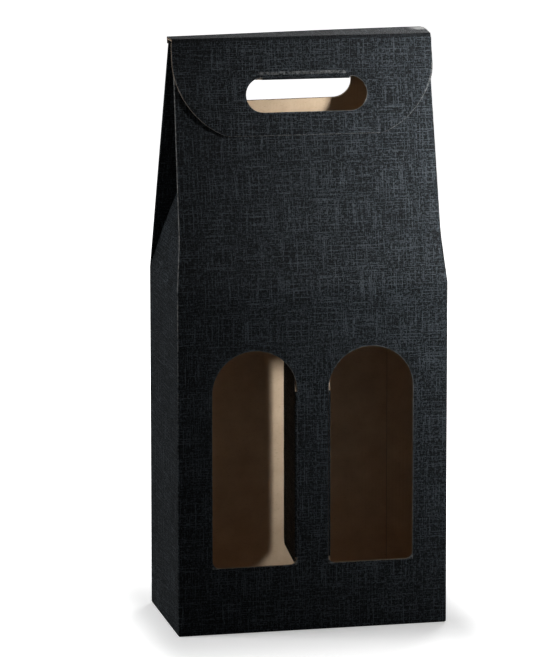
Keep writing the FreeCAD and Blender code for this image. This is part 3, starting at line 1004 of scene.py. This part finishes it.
def wallWearAndHighlight(nodes, across, up):
    # rubbing round the windows, and a painted highlight with some rubbing along the upright folds from foot
    # to ridge
    sideways = nodes.minus(nodes.size(across), window["inset"] + window["width"] / 2)
    spring = window["sill"] + window["height"] - window["width"] / 2
    rise = nodes.larger(nodes.minus(up, spring))
    arch = nodes.minus(nodes.span(sideways, rise), window["width"] / 2)
    outside = nodes.larger(arch, nodes.minus(window["sill"], up))
    rim = nodes.times(nodes.fade(outside, *wearAndHighlightMarks["rim"]), window["rimWear"])
    # how far in from the side, which narrows to the waist and on to the ridge
    x, y, height = nodes.parts(nodes.coordinates.outputs["Object"])
    shoulder, waist = walls["shoulder"], walls["waistHalfWidth"]
    waistTop = shoulder + walls["waistRise"]
    lower = nodes.ramp(height, shoulder, waistTop, 0.0, walls["halfWidth"] - waist)
    upper = nodes.ramp(height, waistTop, cadHigh[2], 0.0, waist - walls["topHalfWidth"])
    edge = nodes.minus(walls["halfWidth"], nodes.math("ADD", lower, upper))
    inFrom = nodes.minus(edge, nodes.size(x))
    # how far behind the leaning panel
    backwards = nodes.minus(walls["halfDepth"], nodes.size(y))
    risen = nodes.larger(nodes.minus(height, shoulder))
    fromPanel = nodes.minus(backwards, nodes.times(risen, math.tan(lean)))
    # painted highlight, with some rubbing, along the side folds above the shoulder and up the corners,
    # lighter towards the top
    start, end = wearAndHighlightMarks["foldFrom"]
    above = nodes.ramp(height, shoulder + start, shoulder + end)
    fold = nodes.times(nodes.fade(inFrom, *wearAndHighlightMarks["fold"]), above)
    fold = nodes.times(fold, nodes.fade(fromPanel, *wearAndHighlightMarks["foldBehind"]))
    corner = nodes.fade(nodes.math("ADD", inFrom, backwards), *wearAndHighlightMarks["upright"])
    uprights = nodes.times(corner, nodes.ramp(height, 0.0, shoulder, wearAndHighlightMarks["uprightFoot"]))
    return nodes.larger(rim, nodes.times(nodes.larger(fold, uprights), walls["foldHighlightAndWear"]))


def ridgeLightening(nodes, across, up):
    # the strip's back edge and its right end are painted lighter
    back = nodes.times(nodes.band(up, *wearAndHighlightMarks["ridgeBack"]), wearAndHighlightMarks["ridgeBackLightening"])
    right = nodes.band(across, *wearAndHighlightMarks["ridgeRight"])
    right = nodes.times(right, nodes.band(up, *wearAndHighlightMarks["ridgeRightUp"]))
    return nodes.larger(back, nodes.times(right, wearAndHighlightMarks["ridgeRightLightening"]))


linenLook = {
    "dark": (0.0019, 0.0027, 0.0036, 1),
    "light": (0.0555, 0.068, 0.079, 1),
    "wornAndHighlight": (0.50, 0.50, 0.49, 1),
    "threadPitch": 0.00050,
    "threadLength": 0.0024,
    "slubPitch": 0.00066,
    "slubLength": 0.024,
    "slubShare": 0.45,
    "threadNoise": (3.0, 0.60),  # detail and roughness
    "relief": (0.53, 0.60),  # where the weave's noise turns from hollow to thread
    "cloudScale": 14.0,
    "cloudDetail": 3.0,
    "cloudShare": 0.4,
    "cloudLevel": 0.80,
    "scratchScale": 420,
    "scratchNoise": (4.0, 0.65),
    "lightening": (0.86, 1.25),
    "roughHollow": 0.71,
    "roughThread": 0.49,
    "gloss": 0.17,
    "bump": 0.00020,
}


def threads(nodes, vector, pitchU, pitchV):
    # long thin streaks: noise squeezed across the threads and drawn out along them
    return nodes.noise(nodes.scaled(vector, (1 / pitchU, 1 / pitchV, 1)), 1.0, *linenLook["threadNoise"])


def linenPaper(name, wearAndHighlight=None, tint=1.0):
    # black paper embossed like linen; the marks function gives how much each place is lightened, from 0 to
    # 1, by rubbing and by painted highlight
    nodes = Nodes(name)
    uv = nodes.coordinates.outputs["UV"]
    pitch, length = linenLook["threadPitch"], linenLook["threadLength"]
    fine = nodes.larger(threads(nodes, uv, length, pitch), threads(nodes, uv, pitch, length))
    pitch, length = linenLook["slubPitch"], linenLook["slubLength"]
    slubs = nodes.larger(threads(nodes, uv, length, pitch), threads(nodes, uv, pitch, length))
    share = linenLook["slubShare"]
    weave = nodes.math("MULTIPLY_ADD", slubs, share, nodes.times(fine, 1 - share))
    relief = nodes.ramp(weave, *linenLook["relief"], kind="SMOOTHSTEP")
    cloud = nodes.noise(uv, linenLook["cloudScale"], linenLook["cloudDetail"])
    cloud = nodes.math("MULTIPLY_ADD", cloud, linenLook["cloudShare"], linenLook["cloudLevel"])
    tone = nodes.times(relief, cloud)
    light = tuple(tint * channel for channel in linenLook["light"][:3]) + (1,)
    colour = nodes.mix(tone, linenLook["dark"], light)
    if wearAndHighlight:
        # lighter marks: real rubbing, and painted highlight where the marks function paints it
        total = wearAndHighlight(nodes, *nodes.parts(uv)[:2])
        fineScale = linenLook["scratchScale"]
        scratch = nodes.noise(nodes.scaled(uv, (fineScale, fineScale, 1)), 1.0, *linenLook["scratchNoise"])
        lightening = nodes.ramp(nodes.math("ADD", scratch, total), *linenLook["lightening"])
        colour = nodes.mix(nodes.times(lightening, total), colour, linenLook["wornAndHighlight"])
    nodes.link(colour, "Base Color")
    rough = nodes.ramp(tone, 0.0, 1.0, linenLook["roughHollow"], linenLook["roughThread"])
    nodes.link(rough, "Roughness")
    nodes.shader.inputs["Specular IOR Level"].default_value = linenLook["gloss"]
    nodes.bump(relief, linenLook["bump"], 1.0)
    return nodes.material


kraftLook = {
    "pale": (0.67, 0.52, 0.36, 1),
    "brown": (0.54, 0.40, 0.265, 1),
    "fibre": (0.22, 0.125, 0.06, 1),
    "flutePitch": 0.0024,
    "cloud": (60.0, 4.0, 0.6),  # scale, detail and roughness
    "cloudRange": (0.3, 0.7),
    "fibreScale": (420, 1500, 1),
    "fibreTurn": 0.4,
    "fibreNoise": (3.0, 0.6),
    "fibreRange": (0.60, 0.74),
    "fibreShare": 0.55,
    "ribShare": 0.5,
    "cloudShare": 0.6,
    "rough": (0.84, 0.72),
    "bump": (0.00005, 0.8),  # distance and strength
}


def kraftPaper(name):
    # brown kraft with fibres, soft clouds and the faint ribs of the flutes under it
    nodes = Nodes(name)
    uv = nodes.coordinates.outputs["UV"]
    cloud = nodes.noise(uv, *kraftLook["cloud"])
    share = nodes.ramp(cloud, *kraftLook["cloudRange"])
    colour = nodes.mix(share, kraftLook["brown"], kraftLook["pale"])
    turned = nodes.scaled(uv, kraftLook["fibreScale"], kraftLook["fibreTurn"])
    fibre = nodes.noise(turned, 1.0, *kraftLook["fibreNoise"])
    fibre = nodes.ramp(fibre, *kraftLook["fibreRange"], 0.0, kraftLook["fibreShare"])
    nodes.link(nodes.mix(fibre, colour, kraftLook["fibre"]), "Base Color")
    rib = nodes.math("SINE", nodes.times(nodes.parts(uv)[0], 2 * math.pi / kraftLook["flutePitch"]))
    clouds = nodes.times(cloud, kraftLook["cloudShare"])
    height = nodes.math("MULTIPLY_ADD", rib, kraftLook["ribShare"], clouds)
    nodes.link(nodes.ramp(cloud, *kraftLook["cloudRange"], *kraftLook["rough"]), "Roughness")
    nodes.bump(height, *kraftLook["bump"])
    return nodes.material


edgeLook = {
    "wave": 0.32,  # height of the flute's wave, as a share of the board
    "flute": (0.09, 0.16),  # its half thickness, and where the painted shade of the hollow is full
    "liner": (0.33, 0.40),
    "skin": (0.05, 0.11),  # the black paper's own thickness
    "fibreScale": 2200,
    "fibreRange": (0.3, 0.7),
    "dull": (0.42, 0.31, 0.21, 1),
    "pale": (0.66, 0.54, 0.42, 1),
    "hollow": (0.10, 0.065, 0.04, 1),
    "black": (0.02, 0.02, 0.022, 1),
    "rough": (0.92, 0.78),
    "bump": (0.00025, 0.7),
}


def cutBoard(name):
    # a cut edge: two liners with the wavy flute between them, and painted shade in the hollows
    nodes = Nodes(name)
    uv = nodes.coordinates.outputs["UV"]
    along, depth = nodes.parts(uv)[:2]
    depth = nodes.times(depth, 1 / board)
    wave = nodes.math("SINE", nodes.times(along, 2 * math.pi / kraftLook["flutePitch"]))
    wave = nodes.math("MULTIPLY_ADD", wave, edgeLook["wave"], 0.5)
    flute = nodes.ramp(nodes.size(nodes.minus(depth, wave)), *edgeLook["flute"], 1.0, 0.0)
    liner = nodes.ramp(nodes.size(nodes.minus(depth, 0.5)), *edgeLook["liner"])
    solid = nodes.larger(flute, liner)
    fibreScale = edgeLook["fibreScale"]
    fibre = nodes.noise(nodes.scaled(uv, (fibreScale, fibreScale, 1)), 1.0, 2.0)
    # painted shade in the hollows between the flute and the liners
    colour = nodes.mix(solid, edgeLook["hollow"], nodes.mix(fibre, edgeLook["dull"], edgeLook["pale"]))
    skin = nodes.ramp(depth, *edgeLook["skin"])
    nodes.link(nodes.mix(skin, edgeLook["black"], colour), "Base Color")
    nodes.link(nodes.ramp(fibre, *edgeLook["fibreRange"], *edgeLook["rough"]), "Roughness")
    nodes.bump(solid, *edgeLook["bump"])
    return nodes.material


kraftInside = kraftPaper("kraftInside")
fluteEdge = cutBoard("fluteEdge")
wallLinen = linenPaper("linenWalls", wallWearAndHighlight)
flapLinen = linenPaper("linenFlap", flapWear)
ridgeLinen = linenPaper("linenRidge", ridgeLightening)
plainLinen = linenPaper("linenPlain")
# painted shade: the ridge fold's linen is darker for the shadow along the crease
foldShadeLinen = linenPaper("linenFoldShaded", tint=ridge["foldShade"])
print("materials made")

# the pieces, each on its body

cartonWalls = makeWalls()
dress(cartonWalls, wallLinen)
cutOpenings(cartonWalls)
bowWalls(cartonWalls)
finishMesh(cartonWalls, "carton", wallLinen)
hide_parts("carton")
print("walls folded and cut")

for piece in (
    basePlate("baseFlapFront", -1), basePlate("baseFlapBack", 1),
    baseSide("baseSideLeft", -1), baseSide("baseSideRight", 1),
    makeSeam(),
):
    finishMesh(piece, "carton", plainLinen)
finishMesh(makeRidge(), "carton", ridgeLinen)
print("base, seam and ridge made")

closingFlap = makeFlap()
finishMesh(closingFlap, "closing_flap", flapLinen)
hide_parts("closing_flap")
handTab = makeTab()
finishMesh(handTab, "hand_tab", plainLinen)
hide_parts("hand_tab")
for side, name in ((-1, "left"), (1, "right")):
    piece = makeWindowFlap(f"windowFlap{name.capitalize()}", side)
    finishMesh(piece, f"window_flap_{name}", plainLinen)
    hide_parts(f"window_flap_{name}")
    fold = makeWindowFold(f"windowFold{name.capitalize()}", side)
    finishMesh(fold, None, plainLinen)
    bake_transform(fold)
ridgeFold = makeRidgeFold()
finishMesh(ridgeFold, None, foldShadeLinen)
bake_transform(ridgeFold)
tabFold = makeTabFold()
finishMesh(tabFold, None, plainLinen)
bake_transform(tabFold)
print("flaps and folds made")

# floor, light and camera

floorLook = {
    "size": 12.0,
    "drop": 0.0002,
    "glow": 0.38,  # plain white added to the floor as the camera sees it
    "fade": (0.0, 0.13),  # from here to there out from the box the floor fades to plain white
    "sideStretch": 3.0,  # beside the box it fades this much faster
    "colour": (0.90, 0.90, 0.90, 1),
    "bounce": (0.22, 0.22, 0.22, 1),  # the floor as it lights the box
    "rough": 0.95,
}


def makeFloor():
    # a square round the origin, white at a distance that is measured from the box's footprint
    reach, level = floorLook["size"] / 2, -floorLook["drop"]
    corners = [(x * reach, y * reach, level) for x, y in ((-1, -1), (1, -1), (1, 1), (-1, 1))]
    mesh = bpy.data.meshes.new("floor")
    mesh.from_pydata(corners, [], [(0, 1, 2, 3)])
    floor = placed("floor", mesh)
    nodes = Nodes("floorPaper")
    path = nodes.tree.nodes.new("ShaderNodeLightPath")
    seen = path.outputs["Is Camera Ray"]
    nodes.link(nodes.mix(seen, floorLook["bounce"], floorLook["colour"]), "Base Color")
    x, y = nodes.parts(nodes.coordinates.outputs["Object"])[:2]
    beside = nodes.larger(nodes.minus(nodes.size(x), walls["halfWidth"]))
    beside = nodes.times(beside, floorLook["sideStretch"])
    beyond = nodes.larger(nodes.minus(nodes.size(y), walls["halfDepth"]))
    away = nodes.span(beside, beyond)
    glow = nodes.ramp(away, *floorLook["fade"], floorLook["glow"], 1.0, "SMOOTHSTEP")
    nodes.link(nodes.times(seen, glow), "Emission Strength")
    nodes.shader.inputs["Emission Color"].default_value = (1, 1, 1, 1)
    nodes.shader.inputs["Roughness"].default_value = floorLook["rough"]
    mesh.materials.append(nodes.material)
    floor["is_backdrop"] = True


worldLevel = 0.095


def makeWorld():
    # white to the camera, and a plain grey level of light for everything else
    world = bpy.data.worlds.new("studio")
    bpy.context.scene.world = world
    world.use_nodes = True
    tree = world.node_tree
    background = tree.nodes["Background"]
    path = tree.nodes.new("ShaderNodeLightPath")
    level = tree.nodes.new("ShaderNodeMapRange")
    level.inputs["To Min"].default_value = worldLevel
    level.inputs["To Max"].default_value = 1.0
    tree.links.new(path.outputs["Is Camera Ray"], level.inputs["Value"])
    tree.links.new(level.outputs[0], background.inputs["Strength"])
    background.inputs["Color"].default_value = (1, 1, 1, 1)


lamps = {  # place, what it looks at, its two sides, watts, and the angle that its light fills
    "keyBox": ((0.67, -1.19, 0.68), (0.28, 0.0, 0.325), (0.30, 0.30), 2.15, 24),
    "backBox": ((0.62, 0.95, 0.80), (0.0, 0.0, 0.3), (0.4, 0.4), 6, 180),
    "sideBox": ((-1.2, 0.1, 1.05), (-0.09, 0.0, 0.28), (0.4, 0.4), 1.3, 60),
}


def softbox(name, place, aim, sides, power, spread):
    # a rectangle of light at its place, turned down and round to look at its aim
    light = bpy.data.lights.new(name, "AREA")
    light.shape = "RECTANGLE"
    light.size, light.size_y = sides
    light.energy = power
    light.spread = math.radians(spread)
    lamp = placed(name, light)
    lamp.location = place
    lamp.visible_camera = False
    away = np.array(place) - np.array(aim)
    down = math.acos(away[2] / np.linalg.norm(away))
    lamp.rotation_euler = (down, 0, math.atan2(away[1], away[0]) + math.pi / 2)


cameraPlace = {
    "target": (0.0, 0.0, 0.190),
    "azimuth": 12.4564,
    "elevation": 12.4181,
    "distance": 4.0654,
    "pictureHeight": 657,  # this, the focal length and the shift are in the picture's pixels
    "focalLength": 6189.1,
    "shift": (-28.90, 3.71),
    "sensor": 36,
    "clipEnd": 50,
}


def makeCamera():
    # on a sphere about the target, at the azimuth and the elevation
    data = bpy.data.cameras.new("camera")
    camera = placed("camera", data)
    turn, rise = math.radians(cameraPlace["azimuth"]), math.radians(cameraPlace["elevation"])
    away = np.array([-math.sin(turn) * math.cos(rise), -math.cos(turn) * math.cos(rise), math.sin(rise)])
    camera.location = np.array(cameraPlace["target"]) + away * cameraPlace["distance"]
    camera.rotation_euler = (math.pi / 2 - rise, 0, -turn)
    high = cameraPlace["pictureHeight"]
    data.lens = cameraPlace["focalLength"] / high * cameraPlace["sensor"]
    data.sensor_width = cameraPlace["sensor"]
    data.shift_x, data.shift_y = (pixels / high for pixels in cameraPlace["shift"])
    data.clip_end = cameraPlace["clipEnd"]
    bpy.context.scene.camera = camera


makeFloor()
makeWorld()
for name, lamp in lamps.items():
    softbox(name, *lamp)
makeCamera()
bpy.context.scene.view_settings.view_transform = "Standard"
print("stage set")
